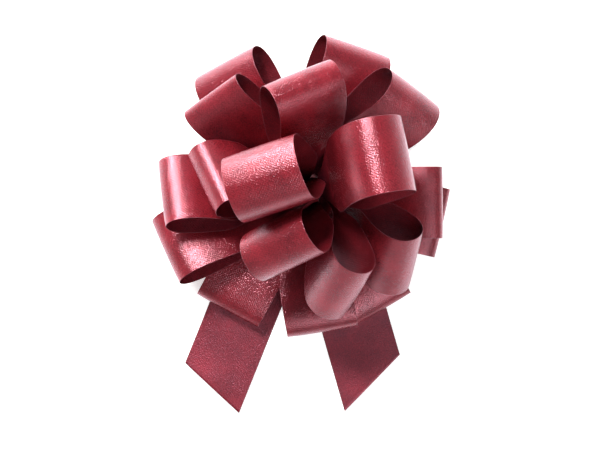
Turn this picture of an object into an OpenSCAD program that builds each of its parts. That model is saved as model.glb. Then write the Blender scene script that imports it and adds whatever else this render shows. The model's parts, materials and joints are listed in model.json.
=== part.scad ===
// Pre-made gift bow: a ball of ribbon loops gathered on two pull ribbons, with two slant-cut tails.
// Millimetres. The bow lies on its back: Z is the hub axis, the loops fan out above Z = 0,
// and the tails lie flat on Z = 0 towards -Y. The origin is on the hub axis, on the resting face.

/* [Ribbon] */
// Width of the ribbon
ribbon_w = 31.75; // [28:0.25:32]
// Thickness of the ribbon
ribbon_t = 0.3; // [0.2:0.05:0.35]

/* [Loops] */
// Added to the length of every loop, measured from the hub axis to the tip
loop_stretch = 0; // [-4:0.5:0]
// Width of each loop's folded neck
neck_w = 6; // [4:0.5:6.5]

/* [Tails] */
// Length of the left tail along its longer edge
left_tail_len = 107; // [90:1:125]
// Length of the right tail along its longer edge
right_tail_len = 103; // [90:1:125]
// How far back the slant cut runs on the left tail
left_slant = 12; // [0:1:20]
// How far back the slant cut runs on the right tail
right_slant = 18; // [0:1:24]

/* [Hub] */
// Distance of the neck folds from the hub axis
neck_r = 8; // [8:0.5:9]
// Height of one tack weld in the gathered stack
tack_h = 2.6; // [2.5:0.1:2.8]
// Width of a pull ribbon
pull_w = 5; // [3:0.5:6]

/* [Hidden] */

// One row for each loop, roughly from the lowest to the highest:
// [direction round the hub, rise above flat, roll about its own length, length from the axis,
//  thickness at the bulge, height of the neck, sideways offset of the neck, length of the flare]
LOOPS = [
    [300,  0,   0, 65, 10,  6,  2, 42],
    [241,  0,   0, 66, 10,  7, -5, 42],
    [347,  3,   0, 64, 10,  9, -1, 46],
    [119,  9, -24, 69, 22,  9,  4, 38],
    [280, 10,   0, 65, 13, 13, -4, 42],
    [204,  7,  18, 70, 16, 13,  0, 36],
    [  0, 13,   0, 62, 11, 15, -6, 38],
    [ 71,  5,  18, 69, 22, 13,  0, 38],
    [180, 18,  27, 67, 15, 15,  2, 36],
    [322, 29,  48, 64, 20, 18,  1, 32],
    [140, 27, -34, 66, 12, 13, -4, 38],
    [ 39, 25,  39, 70, 19, 16,  3, 38],
    [183, 38,  36, 56, 15, 19, -6, 32],
    [ 94, 46,  27, 66, 18, 27, -1, 34],
    [283, 39,  60, 63, 20, 21,  5, 32],
    [ 24, 58, -15, 71, 26, 28, -2, 32],
    [240, 59,  60, 59, 21, 29,  4, 32],
    [180, 75, -73, 71, 28, 30, -3, 32]
];

// Shape of a loop's side view: straight near the neck, roundest at four fifths of its length
bulge_power = 2.8;
bulge_peak = 0.5856;
// Where the two layers part, as an angle round the outline from the neck, and the outline's step
part_angle = 40;
step = 8;

// Directions, neck offsets and flare of the tails
left_dir = 248;
left_shift = -6.3;
right_dir = 286;
right_shift = 4.7;
tail_flare = 26;

// Gathered stack: radius, gap to the necks, and the drawn-in top under the steep loops
neck_gap = 0.6;
stack_r = neck_r - neck_gap;
tacks = 10;
draw_in = 1.4;
// The top tack weld rises in a tapered core, which reaches up between the steep loops
core_top = 36;
core_r = 3;
// The second tack weld spreads in a thin skirt of gathered film, below the lowest loops
skirt_r = 11.5;
skirt_h = 0.5;
// Slots for the pull ribbons and the hollow for the knot
pull_t = 0.3;
slot_gap = 0.2;
slot_y = 1.2;
knot_r = 0.85;
hollow_r = 4.2;
hollow_floor = 0.4;
knot_top = hollow_floor + 2 * knot_r;
$fn = 48;

function name(prefix, i) = str(prefix, i < 10 ? "0" : "", i);
// Radius of tack weld i, counted from the lowest
function tack_r(i) = stack_r - draw_in * max(0, min(2, (i - 5) / 2));

// Middle line of the folded ribbon at angle a round the outline
function middle(a, len, thick) =
    [len * (1 - cos(a)) / 2, thick / 2 * sin(a) * pow(sin(a / 2), bulge_power) / bulge_peak];
// The same point moved out square to the line by half the ribbon's thickness, or in with side -1
function face(a, len, thick, side) =
    let (d = middle(min(a + 1, 359.9), len, thick) - middle(max(a - 1, 0.1), len, thick))
    middle(a, len, thick) + side * ribbon_t / 2 * [-d.y, d.x] / norm(d);

// Side view of a loop: two layers fused at the neck that part into one open eye
module loop_outline(len, thick) {
    difference() {
        polygon([for (a = [0 : step : 360]) face(a, len, thick, 1)]);
        polygon([for (a = [part_angle : step : 360 - part_angle]) face(a, len, thick, -1)]);
    }
}

// Flat shape of a ribbon end that widens from the neck to its full width
module flare(len, from_w, to_w, run) {
    polygon([[-1, -from_w / 2], [0, -from_w / 2], [run, -to_w / 2], [len, -to_w / 2],
             [len, to_w / 2], [run, to_w / 2], [0, from_w / 2], [-1, from_w / 2]]);
}

// One ribbon loop from row i of the table, placed on the hub
module ribbon_loop(i) {
    row = LOOPS[i];
    reach = row[3] + loop_stretch - neck_r;
    color([0.58, 0.15, 0.20])
    translate([0, 0, row[5]]) rotate([0, 0, row[0]]) translate([0, row[6], 0])
    rotate([0, -row[1], 0]) translate([neck_r, 0, 0]) rotate([row[2] - 90, 0, 0])
    intersection() {
        translate([0, 0, -ribbon_w / 2]) linear_extrude(ribbon_w) loop_outline(reach, row[4]);
        rotate([90, 0, 0]) translate([0, 0, -row[4]]) linear_extrude(2 * row[4])
            flare(reach + 2, neck_w, ribbon_w, row[7] - neck_r);
    }
}

// One tail: a flat strip with a narrow neck at the hub and an end cut on the slant
module tail(dir, shift, left_len, right_len) {
    color([0.55, 0.15, 0.19])
    rotate([0, 0, dir]) translate([0, shift, 0]) linear_extrude(ribbon_t)
        polygon([[neck_r, -neck_w / 2], [neck_r + tail_flare, -ribbon_w / 2],
                 [left_len, -ribbon_w / 2], [right_len, ribbon_w / 2],
                 [neck_r + tail_flare, ribbon_w / 2], [neck_r, neck_w / 2]]);
}

module tail_left() tail(left_dir, left_shift, left_tail_len - left_slant, left_tail_len);
module tail_right() tail(right_dir, right_shift, right_tail_len, right_tail_len - right_slant);

// Slots through a tack weld for the two pull ribbons
module pull_slots() {
    for (y = [-slot_y, slot_y])
        translate([-pull_w / 2 - slot_gap, y - pull_t / 2 - slot_gap, -1])
            cube([pull_w + 2 * slot_gap, pull_t + 2 * slot_gap, tack_h + 2]);
}

// One tack weld of the gathered stack; the lowest is closed below and hollow, to hold the knot,
// and the highest closes over the ends of the pull ribbons
module tack_weld(i) {
    color([0.45, 0.12, 0.16])
    translate([0, 0, i * tack_h])
    difference() {
        union() {
            cylinder(r = tack_r(i), h = tack_h);
            if (i == 1) cylinder(r = skirt_r, h = skirt_h);
            if (i == tacks - 1) translate([0, 0, tack_h])
                cylinder(r1 = tack_r(i), r2 = core_r, h = core_top - tacks * tack_h);
        }
        if (i == 0) translate([0, 0, hollow_floor]) cylinder(r = hollow_r, h = tack_h);
        else pull_slots();
    }
}

// A pull ribbon: runs up through every tack weld from the knot
module pull_ribbon(y) {
    color([0.50, 0.13, 0.18])
    translate([-pull_w / 2, y - pull_t / 2, knot_top]) cube([pull_w, pull_t, tacks * tack_h - knot_top]);
}

module pull_ribbon_upper() pull_ribbon(slot_y);
module pull_ribbon_lower() pull_ribbon(-slot_y);

// The knot of the pull ribbons, pulled flat inside the lowest tack weld
module pull_knot() {
    color([0.50, 0.13, 0.18])
    translate([0, 0, knot_top - knot_r])
        rotate_extrude() translate([hollow_r / 2, 0]) circle(r = knot_r);
}

for (i = [0 : len(LOOPS) - 1])
    ribbon_loop(i);
tail_left();
tail_right();
for (i = [0 : tacks - 1])
    tack_weld(i);
pull_ribbon_upper();
pull_ribbon_lower();
pull_knot();
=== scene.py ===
"""The look of the pre-made gift bow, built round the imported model.

Units are metres. The bow lies on its back: +Z is the hub axis and points at the camera,
+Y is up in the picture, and the tails lie on Z = 0 towards -Y.
"""

import json
import math

import bpy
import numpy as np
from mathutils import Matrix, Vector


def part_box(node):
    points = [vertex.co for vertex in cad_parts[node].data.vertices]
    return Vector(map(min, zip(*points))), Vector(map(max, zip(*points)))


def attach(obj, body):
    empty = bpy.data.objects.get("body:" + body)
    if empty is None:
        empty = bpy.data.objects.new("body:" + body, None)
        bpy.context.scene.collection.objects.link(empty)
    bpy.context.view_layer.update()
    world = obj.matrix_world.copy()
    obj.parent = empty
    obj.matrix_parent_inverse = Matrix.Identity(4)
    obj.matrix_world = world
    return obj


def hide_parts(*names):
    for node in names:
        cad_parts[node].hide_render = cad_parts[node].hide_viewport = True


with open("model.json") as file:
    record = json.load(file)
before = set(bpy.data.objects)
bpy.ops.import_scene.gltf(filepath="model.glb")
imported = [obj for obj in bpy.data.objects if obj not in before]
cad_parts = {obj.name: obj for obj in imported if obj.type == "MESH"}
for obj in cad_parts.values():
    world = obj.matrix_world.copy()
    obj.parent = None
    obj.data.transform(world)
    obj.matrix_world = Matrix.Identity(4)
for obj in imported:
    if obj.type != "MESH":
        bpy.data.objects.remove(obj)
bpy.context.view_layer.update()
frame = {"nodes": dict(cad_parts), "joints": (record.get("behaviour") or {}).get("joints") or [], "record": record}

MM = 0.001
FILM = 0.20 * MM  # thickness of the ribbon as it is shown
CAD_FILM = 0.30 * MM  # thickness of the ribbon in the CAD
PULL_FILM = 0.18 * MM  # thickness of the pull ribbons as they are shown
HINGE_RADIUS = 8 * MM  # distance of the necks' hinges from the hub axis
BULGE_POWER = 2.8  # side view of a loop, as in the CAD: straight near the neck
BULGE_PEAK = 0.5856  # largest value of the side view's formula, which scales it to the bulge

LOOP_ROWS = 132  # rows of points along a loop, a tail and a pull ribbon
TAIL_ROWS = 90
PULL_ROWS = 60
NECK_SLACK = 0.1 * MM  # the shown neck is this much narrower at each side than the CAD's
PLEAT = 0.40 * MM  # height of the pleats at a loop's neck
EDGE_LEAN = 0.28 * MM  # how far a loop's cut edges lean out at the bulge
HANDLING = 0.12 * MM  # height of a loop's slow unevenness, and its length along the ribbon
HANDLING_LENGTH = 11 * MM
TAIL_PLEAT = 0.12 * MM  # height of the pleats at a tail's neck
TAIL_FREE = 68 * MM  # from here, measured from the hub axis, a tail rises off the table,
TAIL_RISE = 30 * MM  # and over this length it reaches its full lift
TAIL_CUP = 0.35 * MM  # how far the middle of a tail stands above its edges at its end
TAIL_PATTERN_START = 500  # where the embossing starts on the tails, in mm

rng = np.random.default_rng(20)


# ---------------------------------------------------------------- reading the CAD

def points_of(node):
    """Every vertex of a CAD node, in metres in the row frame."""
    mesh = frame["nodes"][node].data
    flat = np.zeros(len(mesh.vertices) * 3, np.float32)
    mesh.vertices.foreach_get("co", flat)
    return flat.reshape(-1, 3).astype(float)


def unit(v):
    return v / np.linalg.norm(v)


def loop_frame(joint):
    """Where a CAD loop sits: its root, its axes and its main sizes, from its joint and its mesh."""
    node = frame["record"]["behaviour"]["bodies"][joint["child"]][0]
    root = np.array(joint["pos_m"], float)
    w = unit(np.array(joint["axis"], float))
    d = points_of(node) - root
    flat = d - np.outer(d @ w, w)
    far = np.linalg.norm(flat, axis=1)
    u = unit(flat[far > far.max() - 0.3 * MM].mean(axis=0))
    v = np.cross(w, u)
    if v[2] < 0:
        v = -v
    across = np.abs(d @ w)
    wide = across > across.max() - 0.02 * MM
    near = (d @ u) < 0.5 * MM
    return {
        "node": node,
        "body": joint["child"],
        "root": root,
        "u": u,
        "v": v,
        "w": w,
        "length": (d @ u).max(),
        "thick": 2 * np.abs(d @ v).max(),
        "half": across.max(),
        "neck": across[near].max(),
        "flare": (d @ u)[wide].min(),
    }


# ---------------------------------------------------------------- mesh building

def add_mesh(name, verts, faces, smooth=True):
    mesh = bpy.data.meshes.new(name)
    mesh.from_pydata([tuple(p) for p in verts], [], faces)
    mesh.validate()
    mesh.update()
    if smooth:
        mesh.polygons.foreach_set("use_smooth", [True] * len(mesh.polygons))
    obj = bpy.data.objects.new(name, mesh)
    bpy.context.scene.collection.objects.link(obj)
    return obj


def set_vector(obj, name, values):
    """Stores one vector per vertex, for the material to read."""
    attribute = obj.data.attributes.new(name, "FLOAT_VECTOR", "POINT")
    attribute.data.foreach_set("vector", np.asarray(values, np.float32).ravel())


def sheet_normals(grid):
    """Unit normals of a grid of points, by differences along its rows and columns."""
    du = np.gradient(grid, axis=0)
    dv = np.gradient(grid, axis=1)
    n = np.cross(du, dv)
    return n / np.linalg.norm(n, axis=2, keepdims=True)


def film(name, grid, along, across, thickness=FILM, reverse_up=True, gathered=None):
    """A closed thin sheet on the middle surface grid[i][j], with rounded cut edges.

    along and across are the ribbon coordinates in mm of each point, for the embossing.
    reverse_up says that the duller reverse of the ribbon, painted darker as shade, is on the side of the sheet's
    normals.
    gathered says how tightly the ribbon is gathered at each point, from 0 to 1; the material paints shade where it
    is high.
    """
    rows, cols = grid.shape[:2]
    n = sheet_normals(grid)
    top, bottom = grid + n * thickness / 2, grid - n * thickness / 2
    verts = np.concatenate([top.reshape(-1, 3), bottom.reshape(-1, 3)])
    edge = np.zeros_like(along)
    edge[:, [0, -1]] = 1.0
    st = np.stack([along, across, edge], axis=2).reshape(-1, 3)
    half = rows * cols
    at = lambda i, j: i * cols + j
    faces = []
    for i in range(rows - 1):
        for j in range(cols - 1):
            a, b, c, d = at(i, j), at(i + 1, j), at(i + 1, j + 1), at(i, j + 1)
            faces.append((a, b, c, d))
            faces.append((half + d, half + c, half + b, half + a))
    # the rim has one row of points between the faces, a little further out
    ring = (
        [(i, 0) for i in range(rows)]
        + [(rows - 1, j) for j in range(1, cols)]
        + [(i, cols - 1) for i in range(rows - 2, -1, -1)]
        + [(0, j) for j in range(cols - 2, 0, -1)]
    )
    middle = []
    for i, j in ring:
        out = np.zeros(3)
        if i == 0:
            out += unit(grid[0, j] - grid[1, j])
        if i == rows - 1:
            out += unit(grid[-1, j] - grid[-2, j])
        if j == 0:
            out += unit(grid[i, 0] - grid[i, 1])
        if j == cols - 1:
            out += unit(grid[i, -1] - grid[i, -2])
        middle.append(grid[i, j] + unit(out) * thickness * 0.3)
    first = len(verts)
    verts = np.concatenate([verts, np.array(middle)])
    st = np.concatenate([st, st, np.array([st[at(i, j)] for i, j in ring])])
    for k, (i, j) in enumerate(ring):
        m, (p, q) = (k + 1) % len(ring), ring[(k + 1) % len(ring)]
        faces.append((at(i, j), first + k, first + m, at(p, q)))
        faces.append((first + k, half + at(i, j), half + at(p, q), first + m))
    obj = add_mesh(name, verts, faces)
    set_vector(obj, "ribbon_st", st)
    reverse = np.full((len(verts), 3), 0.5)
    reverse[:half, 0] = 1.0 if reverse_up else 0.0
    reverse[half:2 * half, 0] = 0.0 if reverse_up else 1.0
    if gathered is None:
        gathered = np.zeros_like(along)
    tight = gathered.reshape(-1)
    reverse[:, 1] = np.concatenate([tight, tight, [gathered[i, j] for i, j in ring]])
    set_vector(obj, "ribbon_reverse", reverse)
    return obj


def fade(x, start, end):
    """1 before start, 0 after end, smooth between."""
    t = np.clip((x - start) / (end - start), 0, 1)
    return 1 - t * t * (3 - 2 * t)


def flared(x, neck, half, flare):
    """Half the ribbon's width at x from the neck: it widens evenly, then turns in a soft shoulder.

    The shoulder lies about x = flare, from 0.85 to 1.15 times as far.
    """
    q = np.clip(x / flare, 0, 1.15)
    s = np.where(q < 0.85, q, q - (q - 0.85) ** 2 / 0.6)
    return neck + (half - neck) * s


# Positions across the ribbon, from edge to edge, closer together at the cut edges
HALF_ACROSS = [0.25, 0.5, 0.7, 0.84, 0.94, 0.985, 1]
ACROSS = np.array([-a for a in reversed(HALF_ACROSS)] + [0] + HALF_ACROSS)


def ribbon_loop(name, f, along_start):
    """One loop of ribbon, folded back on itself at the neck, with its pleats running into the hub."""
    length = f["length"] - CAD_FILM / 2
    thick = f["thick"] - CAD_FILM
    a = np.radians(np.linspace(0, 360, 1441))
    x = length * (1 - np.cos(a)) / 2
    y = thick / 2 * np.sin(a) * np.abs(np.sin(a / 2)) ** BULGE_POWER / BULGE_PEAK
    # the two layers lie on each other at the neck, a film's thickness apart
    side = np.where(a < math.pi, 1, -1)
    part = fade(x, 0.1 * length, 0.4 * length)
    y = side * np.sqrt(y**2 + (0.6 * FILM * part) ** 2)
    step = np.hypot(np.diff(x), np.diff(y))
    s = np.concatenate([[0], np.cumsum(step)])
    at = np.linspace(0, s[-1], LOOP_ROWS)
    x, y = np.interp(at, s, x), np.interp(at, s, y)
    half = flared(x, f["neck"] - NECK_SLACK, f["half"], f["flare"])
    t = np.outer(half, ACROSS)
    xs, ys = np.repeat(x[:, None], len(ACROSS), 1), np.repeat(y[:, None], len(ACROSS), 1)
    # pleats: both layers fold together at the neck, and smooth out where the ribbon is full width
    phase, count = rng.uniform(0, 2 * math.pi), rng.uniform(1.6, 2.3)
    pleat = PLEAT * fade(xs, 0.35 * f["flare"], 1.05 * f["flare"])
    pleat = pleat * (0.55 + 0.45 * (1 - fade(xs, 0, 6 * MM)))
    ys = ys + pleat * np.cos(phase + math.pi * count * ACROSS[None, :])
    # the sheet leans out a little towards its cut edges, most at the bulge
    out = EDGE_LEAN * (1 - fade(xs, 0.4 * length, 0.75 * length))
    out = out * (np.abs(ACROSS[None, :]) ** 3 - 0.3)
    # slow unevenness from handling
    slow = HANDLING * np.sin(at[:, None] / HANDLING_LENGTH + phase + 1.3 * ACROSS[None, :])
    slow = slow * (1 - fade(xs, 0.3 * length, 0.6 * length))
    # both go along the outline's normal (nx, ny)
    dx, dy = np.gradient(x), np.gradient(y)
    nx, ny = dy / np.hypot(dx, dy), -dx / np.hypot(dx, dy)
    xs, ys = xs + nx[:, None] * (out + slow), ys + ny[:, None] * (out + slow)
    grid = (
        f["root"]
        + xs[:, :, None] * f["u"]
        + ys[:, :, None] * f["v"]
        + t[:, :, None] * f["w"]
    )
    along = np.repeat((along_start + at[:, None]) / MM, len(ACROSS), 1)
    # how tightly the ribbon is gathered at its neck, which also sets the painted shade of the creases there
    gathered = fade(np.repeat(x[:, None], len(ACROSS), 1), 0.08 * length, 0.42 * length)
    obj = film(name, grid, along, t / MM, reverse_up=False, gathered=gathered)
    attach(obj, f["body"])
    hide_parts(f["node"])
    return obj


# ---------------------------------------------------------------- materials

def new_material(name):
    m = bpy.data.materials.new(name)
    m.use_nodes = True
    return m, m.node_tree, m.node_tree.nodes["Principled BSDF"]


class Graph:
    """Short calls for a node tree."""

    def __init__(self, tree):
        self.tree = tree

    def add(self, kind, inputs=(), **properties):
        n = self.tree.nodes.new(kind)
        for key, value in properties.items():
            setattr(n, key, value)
        for socket, value in dict(inputs).items():
            if isinstance(value, bpy.types.NodeSocket):
                self.tree.links.new(value, n.inputs[socket])
            else:
                n.inputs[socket].default_value = value
        return n

    def math(self, operation, a, b=0.0, c=0.0):
        return self.add("ShaderNodeMath", {0: a, 1: b, 2: c}, operation=operation).outputs[0]

    def vector(self, operation, a, b, c=(0.0, 0.0, 0.0)):
        return self.add("ShaderNodeVectorMath", {0: a, 1: b, 2: c}, operation=operation).outputs[0]

    def dot(self, a, b):
        return self.add("ShaderNodeVectorMath", {0: a, 1: b}, operation="DOT_PRODUCT").outputs["Value"]

    def attribute(self, name):
        """A vector that film() stored for each vertex."""
        return self.add(
            "ShaderNodeAttribute", attribute_name=name, attribute_type="GEOMETRY"
        ).outputs["Vector"]

    def noise(self, vector, scale, detail=2.0, rough=0.5):
        inputs = {"Vector": vector, "Scale": scale, "Detail": detail, "Roughness": rough}
        return self.add("ShaderNodeTexNoise", inputs).outputs["Fac"]

    def parts(self, vector):
        """The X, Y and Z of a vector."""
        return self.add("ShaderNodeSeparateXYZ", {0: vector}).outputs

    def mix(self, factor, a, b):
        n = self.add("ShaderNodeMix", data_type="RGBA")
        for socket, value in ((n.inputs[0], factor), (n.inputs[6], a), (n.inputs[7], b)):
            if isinstance(value, bpy.types.NodeSocket):
                self.tree.links.new(value, socket)
            else:
                socket.default_value = value
        return n.outputs[2]

    def map(self, value, low, high, out_low, out_high):
        return self.add(
            "ShaderNodeMapRange",
            {"Value": value, "From Min": low, "From Max": high, "To Min": out_low, "To Max": out_high},
        ).outputs[0]


# The embossing: slant in degrees, pitch in mm and weight of each set of ridges
RIDGES = ((48, 0.95, 0.42), (-37, 0.90, 0.36), (84, 0.62, 0.22))
GRAIN = 3.2  # height of the fine grain, against the ridges
EMBOSSING = 0.050 * MM
METALLIC = 0.36  # the pearl pigment under the gloss
SPECULAR = 0.7
ROUGHNESS = 0.185
COAT = 0.30
# painted shade along the cut edges
EDGE_SHADE = (0.10, 0.012, 0.018, 1.0)
# painted shade between the fine creases where a loop is gathered to its neck
CREASE_PAINTED_SHADE = (0.010, 0.002, 0.004, 1.0)


def satin_film(name, deep, light, relief=1.0, ridge=1.0):
    """Embossed satin film ribbon: crossing sets of fine slanted ridges over a pearly, dyed ground.

    deep and light are the ends of the dye's range, relief is the height of the embossing and
    ridge that of its ridges alone, against the loops' ribbon.
    """
    m, tree, shader = new_material(name)
    g = Graph(tree)
    st = g.attribute("ribbon_st")
    flat = g.vector("MULTIPLY", st, (1.0, 1.0, 0.0))
    # the rollers never press quite straight: the ridges wander by some tenths of a millimetre
    wander = g.add("ShaderNodeTexNoise", {"Vector": flat, "Scale": 0.45, "Detail": 2.0})
    bent = g.vector("MULTIPLY_ADD", wander.outputs["Color"], (1.1, 1.1, 0.0), flat)
    cross = 0.0
    for slant, pitch, weight in RIDGES:
        k = 2 * math.pi / pitch
        direction = (k * math.cos(math.radians(slant)), k * math.sin(math.radians(slant)), 0.0)
        wave = g.math("SINE", g.dot(bent, direction))
        cross = g.math("MULTIPLY_ADD", wave, weight * ridge, cross)
    strength = g.map(g.noise(flat, 0.30, 3.0), 0.35, 0.65, 0.35, 1.0)
    grain = g.noise(flat, 1.5, 3.0, 0.62)
    height = g.math("MULTIPLY_ADD", grain, GRAIN, g.math("MULTIPLY", cross, strength))
    bump = g.add("ShaderNodeBump", {"Strength": 1.0, "Distance": EMBOSSING * relief, "Height": height})
    # dye: cloudy over centimetres and finely speckled; the colour is also a little deeper in the valleys of the
    # embossing
    cloud = g.map(g.noise(flat, 0.09, 3.0, 0.55), 0.3, 0.7, 0.25, 0.75)
    tone = g.math("MULTIPLY_ADD", g.map(cross, -1.2, 1.2, -0.5, 0.5), 0.35, cloud)
    speck = g.map(g.noise(flat, 1.3, 2.0, 0.7), 0.32, 0.70, -0.36, 0.40)
    tone = g.add("ShaderNodeMath", {0: tone, 1: speck}, operation="ADD", use_clamp=True).outputs[0]
    colour = g.mix(tone, (*deep, 1.0), (*light, 1.0))
    # the cut edge is dull, and its colour is painted a little deeper than the face, as the thin line of shade
    # along it
    edge = g.parts(st)["Z"]
    colour = g.mix(g.math("MULTIPLY", edge, 0.5), colour, EDGE_SHADE)
    # the reverse has the same dye without the gloss, and its colour is painted darker, as shade inside the loops
    # where it faces in
    side = g.parts(g.attribute("ribbon_reverse"))
    reverse, gathered = side["X"], side["Y"]
    colour = g.mix(reverse, colour, g.vector("MULTIPLY", colour, (0.72, 0.72, 0.72)))
    # painted shade: the colour goes almost black where the ribbon is gathered to its neck, since light hardly
    # reaches between the fine creases there
    colour = g.mix(g.math("MULTIPLY", gathered, 0.90), colour, CREASE_PAINTED_SHADE)
    open_film = g.map(gathered, 0.0, 0.5, 1.0, 0.0)
    rough = g.map(grain, 0.3, 0.7, ROUGHNESS - 0.03, ROUGHNESS + 0.05)
    rough = g.math("MULTIPLY_ADD", edge, 0.30, rough)
    rough = g.math("MULTIPLY_ADD", reverse, 0.14, rough)
    gloss = g.math("MULTIPLY", g.math("MULTIPLY_ADD", reverse, -COAT, COAT), open_film)
    for socket, value in (
        ("Base Color", colour),
        ("Roughness", rough),
        ("Metallic", g.math("MULTIPLY", open_film, METALLIC)),
        ("Specular IOR Level", g.math("MULTIPLY", open_film, SPECULAR)),
        ("Coat Weight", gloss),
        ("Normal", bump.outputs["Normal"]),
        ("Coat Normal", bump.outputs["Normal"]),
    ):
        tree.links.new(value, shader.inputs[socket])
    shader.inputs["Specular Tint"].default_value = (1.0, 0.76, 0.98, 1.0)
    shader.inputs["Coat Roughness"].default_value = 0.13
    shader.inputs["Coat IOR"].default_value = 1.65
    return m


def pressed_film(name, deep, light):
    """Heat-pressed film of the tack welds: duller, with the marks of the welding bars."""
    m, tree, shader = new_material(name)
    g = Graph(tree)
    where = g.add("ShaderNodeTexCoord").outputs["Object"]
    fine = g.noise(where, 1800.0, 3.0)
    broad = g.noise(where, 260.0, 2.0)
    bars = g.math("SINE", g.dot(where, (5200.0, 3100.0, 6100.0)))
    height = g.math("MULTIPLY_ADD", bars, 0.25, fine)
    bump = g.add("ShaderNodeBump", {"Strength": 0.8, "Distance": 0.03 * MM, "Height": height})
    colour = g.mix(g.map(broad, 0.3, 0.7, 0.0, 1.0), (*deep, 1.0), (*light, 1.0))
    tree.links.new(colour, shader.inputs["Base Color"])
    tree.links.new(g.map(fine, 0.3, 0.7, 0.42, 0.60), shader.inputs["Roughness"])
    tree.links.new(bump.outputs["Normal"], shader.inputs["Normal"])
    return m


ribbon_material = satin_film("embossed_satin_ribbon", (0.105, 0.008, 0.012), (0.305, 0.018, 0.029))
# the tails show their reverse, painted darker, so their dye is set a little lighter
tail_material = satin_film(
    "embossed_satin_tail", (0.115, 0.010, 0.015), (0.325, 0.022, 0.035), ridge=0.35
)
weld_material = pressed_film("pressed_weld", (0.035, 0.004, 0.007), (0.08, 0.008, 0.013))
pull_material = satin_film(
    "satin_pull_ribbon", (0.20, 0.015, 0.024), (0.36, 0.035, 0.052), relief=0.6
)


# ---------------------------------------------------------------- the loops

start = 0.0
for joint in frame["joints"]:
    if not joint["name"].endswith("_flex"):
        continue
    f = loop_frame(joint)
    obj = ribbon_loop("ribbon_" + f["node"], f, start)
    obj.data.materials.append(ribbon_material)
    start += 2 * f["length"] + 12 * MM  # the ribbon is one length, so its pattern runs on


# ---------------------------------------------------------------- the tails

def tail(name, node, body, lift, twist):
    """A flat tail: pleated at the neck, flat under the loops, its cut end a little off the table.

    lift is the height of the end, and twist says which of its corners is higher, by how much.
    """
    flat = points_of(node)[:, :2]
    joint = next(j for j in frame["joints"] if j["child"] == body)
    root = np.array(joint["pos_m"], float)[:2]
    d = flat - root
    # the strip's direction u: first towards its far corners, then turned until its two straight
    # sides are equally far from the line through the root
    corners = np.unique(np.round(flat[np.linalg.norm(flat, axis=1) > 60 * MM], 6), axis=0)
    u = unit(corners.mean(axis=0) - root)
    for _ in range(30):
        w = np.array([-u[1], u[0]])
        t, x = d @ w, d @ u
        left, right = t.max(), -t.min()
        wide = x[t > left - 0.02 * MM], x[t < -right + 0.02 * MM]
        slope = (left - right) / 2 / max(wide[0].max(), wide[1].max())
        u = unit(u + w * slope)
    w = np.array([-u[1], u[0]])
    x, t = d @ u, d @ w
    half = (t.max() - t.min()) / 2
    end_left = x[t > half - 0.05 * MM].max()
    end_right = x[t < -half + 0.05 * MM].max()
    flare = min(x[t > half - 0.05 * MM].min(), x[t < -half + 0.05 * MM].min())
    neck = np.abs(t[x < 0.5 * MM]).max()
    q = np.linspace(0, 1, TAIL_ROWS)
    xs = np.zeros((TAIL_ROWS, len(ACROSS)))
    for j, a in enumerate(ACROSS):
        xs[:, j] = q * (end_right + (end_left - end_right) * (a + 1) / 2)
    # rows are square to the strip near the hub and turn to the slant towards the cut
    mean = xs.mean(axis=1, keepdims=True)
    blend = np.clip((mean - 0.45 * mean.max()) / (0.55 * mean.max()), 0, 1) ** 1.5
    xs = mean + (xs - mean) / np.maximum(q[:, None], 1e-6) * blend
    h = flared(xs, neck - NECK_SLACK, half, flare)
    ts = h * ACROSS[None, :]
    z = np.full_like(xs, CAD_FILM / 2)
    pleat = TAIL_PLEAT * fade(xs, 0.3 * flare, flare)
    z += pleat * (1 + np.cos(5.2 * ACROSS[None, :] + twist))
    beyond = np.clip((xs + HINGE_RADIUS - TAIL_FREE) / TAIL_RISE, 0, 1)
    z += lift * beyond**1.6 * (0.75 + 0.25 * ACROSS[None, :] * twist)
    z += TAIL_CUP * beyond * (1 - ACROSS[None, :] ** 2)
    base = np.array([root[0], root[1], 0.0])
    grid = (
        base
        + xs[:, :, None] * np.array([u[0], u[1], 0.0])
        + ts[:, :, None] * np.array([w[0], w[1], 0.0])
        + z[:, :, None] * np.array([0.0, 0.0, 1.0])
    )
    obj = film(name, grid, xs / MM + TAIL_PATTERN_START, ts / MM)
    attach(obj, body)
    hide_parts(node)
    obj.data.materials.append(tail_material)


tail("ribbon_tail_left", "tail_left", "tail_left_body", 2.2 * MM, 0.9)
tail("ribbon_tail_right", "tail_right", "tail_right_body", 1.8 * MM, -0.8)


# ---------------------------------------------------------------- the hub

DISC_POINTS = 120  # points round a tack weld
FOLD_DEPTH = 0.55 * MM  # depth of the folds round its edge
SHOULDER = 0.35 * MM  # height over which its edge rounds off
CORE_STEPS = 14  # rings of the core on the highest weld
CORE_TURN = 1.1  # twist of that core, in radians


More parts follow.
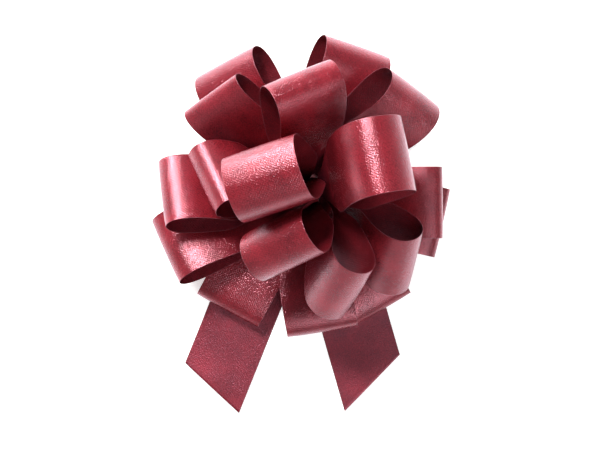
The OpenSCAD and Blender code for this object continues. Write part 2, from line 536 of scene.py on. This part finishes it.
def crimped_disc(name, node, r, turns, hollow=False, skirt=False, core_from=None):
    """A tack weld as it is gathered: pressed film with folds round its edge and the marks of the weld.

    The lowest is hollow. The second spreads in a thin skirt. The highest rises above core_from in a
    twisted core of folded film.
    """
    low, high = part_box(node)
    bottom, top = low[2], high[2]
    wide = (high[0] - low[0]) / 2

    def row(share, z, show=0.0, turn=0.0, ripple=None):
        """One ring: radius share, height, how far the folds show, their turn, and their rise."""
        if ripple is None:
            ripple = 0.10 * MM * show if show < 1 else 0.0
        return share, z, show, turn, ripple

    profile = [row(0.0, bottom), row(0.45, bottom)]
    if skirt:
        out = wide / r
        half_way = 0.5 + out / 2
        # radius share, mm above the bottom, how far the folds show, mm of rise and fall
        for share, above, show, ripple in (
            (0.95, 0.02, 0.2, 0.05),
            (half_way, 0.05, 0.8, 0.20),
            (out * 0.97, 0.12, 1.2, 0.42),
            (out, 0.25, 1.2, 0.45),
            (out * 0.97, 0.38, 1.2, 0.42),
            (half_way, 0.42, 0.8, 0.20),
            (1.03, 0.50, 0.8, 0.05),
        ):
            profile.append(row(share, bottom + above * MM, show, 0, ripple * MM))
    else:
        profile += [
            row(0.80, bottom + 0.05 * MM, 0.3),
            row(0.95, bottom + 0.12 * MM, 0.8),
            row(1.0, bottom + SHOULDER, 1.0),
        ]
    if core_from is not None:
        p = points_of(node)
        tip = np.linalg.norm(p[p[:, 2] > top - 0.01 * MM][:, :2], axis=1).max() / r
        profile.append(row(1.0, core_from - SHOULDER, 1.0))
        for t in np.linspace(0, 1, CORE_STEPS):
            depth = 1.0 + 1.5 * min(1.0, 3 * t)
            height = core_from + (top - 0.5 * MM - core_from) * t
            profile.append(row(1 + (tip - 1) * t, height, depth, CORE_TURN * t))
        profile += [
            row(0.85 * tip, top, 1.9, 1.15), row(0.55 * tip, top - 0.7 * MM, 1.0, 1.2),
            row(0.30 * tip, top - 1.6 * MM, 0.5, 1.2), row(0.0, top - 2.0 * MM),
        ]
    else:
        profile += [
            row(1.0, (bottom + top) / 2, 1.0), row(1.0, top - SHOULDER, 1.0),
            row(0.95, top - 0.12 * MM, 0.8), row(0.80, top - 0.05 * MM, 0.3),
        ]
        if hollow:
            profile += [
                row(0.60, top), row(0.58, top - 0.3 * MM),
                row(0.57, bottom + 0.45 * MM), row(0.0, bottom + 0.4 * MM),
            ]
        else:
            profile += [row(0.45, top), row(0.0, top)]
    angle = np.linspace(0, 2 * math.pi, DISC_POINTS, endpoint=False)
    verts, faces = [], []
    for share, z, show, turn, ripple in profile:
        if share == 0.0:
            verts.append((0.0, 0.0, z))
            continue
        a = angle + turn
        folds = 0.5 + 0.5 * np.cos(turns * a + 1.7 * np.sin(3 * a + turns))
        folds = 0.62 * folds + 0.38 * (0.5 + 0.5 * np.cos(2.0 * turns * a + 0.9 * turns))
        radius = r * share - FOLD_DEPTH * show * (1 - folds)
        lift = ripple * (folds - 0.5)
        for k, at in enumerate(angle):
            verts.append((radius[k] * math.cos(at), radius[k] * math.sin(at), z + lift[k]))
    rings = len(profile) - 2
    first = 1
    last = first + (rings - 1) * DISC_POINTS
    for k in range(DISC_POINTS):
        m = (k + 1) % DISC_POINTS
        faces.append((0, first + m, first + k))
        for a in range(first, last, DISC_POINTS):
            b = a + DISC_POINTS
            faces.append((a + k, a + m, b + m, b + k))
        faces.append((last + k, last + m, len(verts) - 1))
    obj = add_mesh(name, verts, faces)
    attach(obj, "hub")
    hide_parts(node)
    obj.data.materials.append(weld_material)


welds = sorted(n for n in frame["nodes"] if n.startswith("tack_weld_"))
stack_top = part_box("pull_ribbon_upper")[1][2]
for i, node in enumerate(welds):
    # the skirt widens the second weld's own box, so its radius comes from the lowest
    low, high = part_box(welds[0] if i == 1 else node)
    core_from = stack_top if i == len(welds) - 1 else None
    crimped_disc(
        "weld_tab_" + node[-2:], node, (high[0] - low[0]) / 2, 9 + (i * 5) % 4,
        hollow=(i == 0), skirt=(i == 1), core_from=core_from,
    )


def pull_strip(name, node, bow):
    """A pull ribbon: a narrow satin strip up through the tabs, with a slight wave in it."""
    low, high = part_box(node)
    z = np.linspace(low[2] + 0.1 * MM, high[2], PULL_ROWS)
    half = (high[0] - low[0]) / 2
    xs = half * np.repeat(ACROSS[None, :], PULL_ROWS, 0)
    middle = (low[1] + high[1]) / 2
    wave = bow * np.sin(z / (1.9 * MM))[:, None]
    ys = middle + wave + 0.04 * MM * np.cos(3 * ACROSS)[None, :]
    zs = np.repeat(z[:, None], len(ACROSS), 1)
    grid = np.stack([xs, ys, zs], axis=2)
    obj = film(name, grid, zs / MM, xs / MM, PULL_FILM)
    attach(obj, "hub")
    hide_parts(node)
    obj.data.materials.append(pull_material)


pull_strip("pull_strip_upper", "pull_ribbon_upper", 0.10 * MM)
pull_strip("pull_strip_lower", "pull_ribbon_lower", -0.10 * MM)


KNOT_ROWS, KNOT_COLS = 220, 18  # points along and round the rolled ribbon of the knot


def knot(name, node):
    """The knot in the pull ribbons: two crossing turns of rolled ribbon, pulled flat."""
    low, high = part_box(node)
    centre = (np.array(low) + np.array(high)) / 2
    outer, tube = (high[0] - low[0]) / 2, (high[2] - low[2]) / 2
    q = np.linspace(0, 2 * math.pi, KNOT_ROWS, endpoint=False)
    ring = outer - tube
    swing = 0.42 * ring
    cx = (ring * 0.62 + swing * 0.5 * np.cos(3 * q)) * np.cos(2 * q)
    cy = (ring * 0.62 + swing * 0.5 * np.cos(3 * q)) * np.sin(2 * q)
    cz = 0.42 * tube * np.sin(3 * q)
    line = np.stack([cx, cy, cz], axis=1)
    ahead = np.roll(line, -1, 0) - np.roll(line, 1, 0)
    ahead /= np.linalg.norm(ahead, axis=1, keepdims=True)
    side = np.cross(ahead, np.array([0.0, 0.0, 1.0]))
    side /= np.linalg.norm(side, axis=1, keepdims=True)
    up = np.cross(side, ahead)
    verts, faces, st = [], [], []
    for i in range(KNOT_ROWS):
        for j in range(KNOT_COLS):
            a = 2 * math.pi * j / KNOT_COLS
            crease = 1 + 0.14 * math.cos(5 * a + 6 * q[i])
            off = side[i] * math.cos(a) * 0.62 * tube * crease
            off = off + up[i] * math.sin(a) * 0.36 * tube * crease
            verts.append(centre + line[i] + off)
            st.append((i * 0.1, j * 0.2, 0.0))
            here, following = i * KNOT_COLS, (i + 1) % KNOT_ROWS * KNOT_COLS
            beside = (j + 1) % KNOT_COLS
            faces.append((here + j, following + j, following + beside, here + beside))
    obj = add_mesh(name, verts, faces)
    set_vector(obj, "ribbon_st", st)
    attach(obj, "hub")
    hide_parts(node)
    obj.data.materials.append(pull_material)


knot("pull_ribbon_knot", "pull_knot")


# ---------------------------------------------------------------- floor, light and camera

TABLE_HALF = 1.6  # half the side of the table top
TABLE_TOP = -0.0001  # just under the bow
TABLE_GLOW = 0.54


def floor():
    m, tree, shader = new_material("pale_table")
    g = Graph(tree)
    where = g.add("ShaderNodeTexCoord").outputs["Object"]
    soft = g.noise(where, 3.0, 2.0)
    pale = g.mix(soft, (0.86, 0.86, 0.86, 1.0), (0.90, 0.90, 0.90, 1.0))
    tree.links.new(pale, shader.inputs["Base Color"])
    shader.inputs["Roughness"].default_value = 0.85
    shader.inputs["Specular IOR Level"].default_value = 0.2
    # a light table: a faint glow from below, which leaves almost no shadow
    shader.inputs["Emission Color"].default_value = (1.0, 1.0, 1.0, 1.0)
    shader.inputs["Emission Strength"].default_value = TABLE_GLOW
    corners = [
        (TABLE_HALF * x, TABLE_HALF * y, TABLE_TOP) for x, y in ((-1, -1), (1, -1), (1, 1), (-1, 1))
    ]
    obj = add_mesh("table_top", corners, [(0, 1, 2, 3)], smooth=False)
    obj.data.materials.append(m)


LIGHT_AIM = Vector((0, -0.01, 0.03))  # the middle of the bow


def area_light(name, toward, distance, size, power):
    """A square soft box in direction `toward` from the bow, facing it."""
    data = bpy.data.lights.new(name, "AREA")
    data.energy = power
    data.shape = "SQUARE"
    data.size = size
    obj = bpy.data.objects.new(name, data)
    bpy.context.scene.collection.objects.link(obj)
    direction = Vector(toward).normalized()
    obj.location = LIGHT_AIM + direction * distance
    obj.rotation_mode = "QUATERNION"
    obj.rotation_quaternion = direction.to_track_quat("Z", "Y")


floor()
# the key and upper lights give the gloss bands, and the fill opens the shadows from the other side
area_light("key", (-0.276, 0.500, 0.821), 0.95, 0.20, 12.8)
area_light("upper", (-0.42, 0.84, 0.34), 0.95, 0.20, 11.0)
area_light("fill", (0.42, -0.50, 1.0), 1.3, 0.8, 10.0)

# the room: pale walls, darker overhead
world = bpy.data.worlds.new("studio")
bpy.context.scene.world = world
world.use_nodes = True
g = Graph(world.node_tree)
direction = g.add("ShaderNodeTexCoord").outputs["Generated"]
sky = g.map(g.parts(direction)["Z"], 0.0, 0.85, 0.62, 0.10)
world.node_tree.links.new(sky, world.node_tree.nodes["Background"].inputs["Strength"])
world.node_tree.nodes["Background"].inputs["Color"].default_value = (1.0, 1.0, 1.0, 1.0)

# the camera looks straight down on the bow, with a long lens
camera = bpy.data.objects.new("camera", bpy.data.cameras.new("camera"))
camera.data.sensor_width = 36.0
camera.data.lens = 90.6
camera.location = (-0.003, -0.016, 0.700)
camera.rotation_euler = (0.0, 0.0, 0.0)
bpy.context.scene.collection.objects.link(camera)
bpy.context.scene.camera = camera

bpy.context.scene.view_settings.view_transform = "Standard"
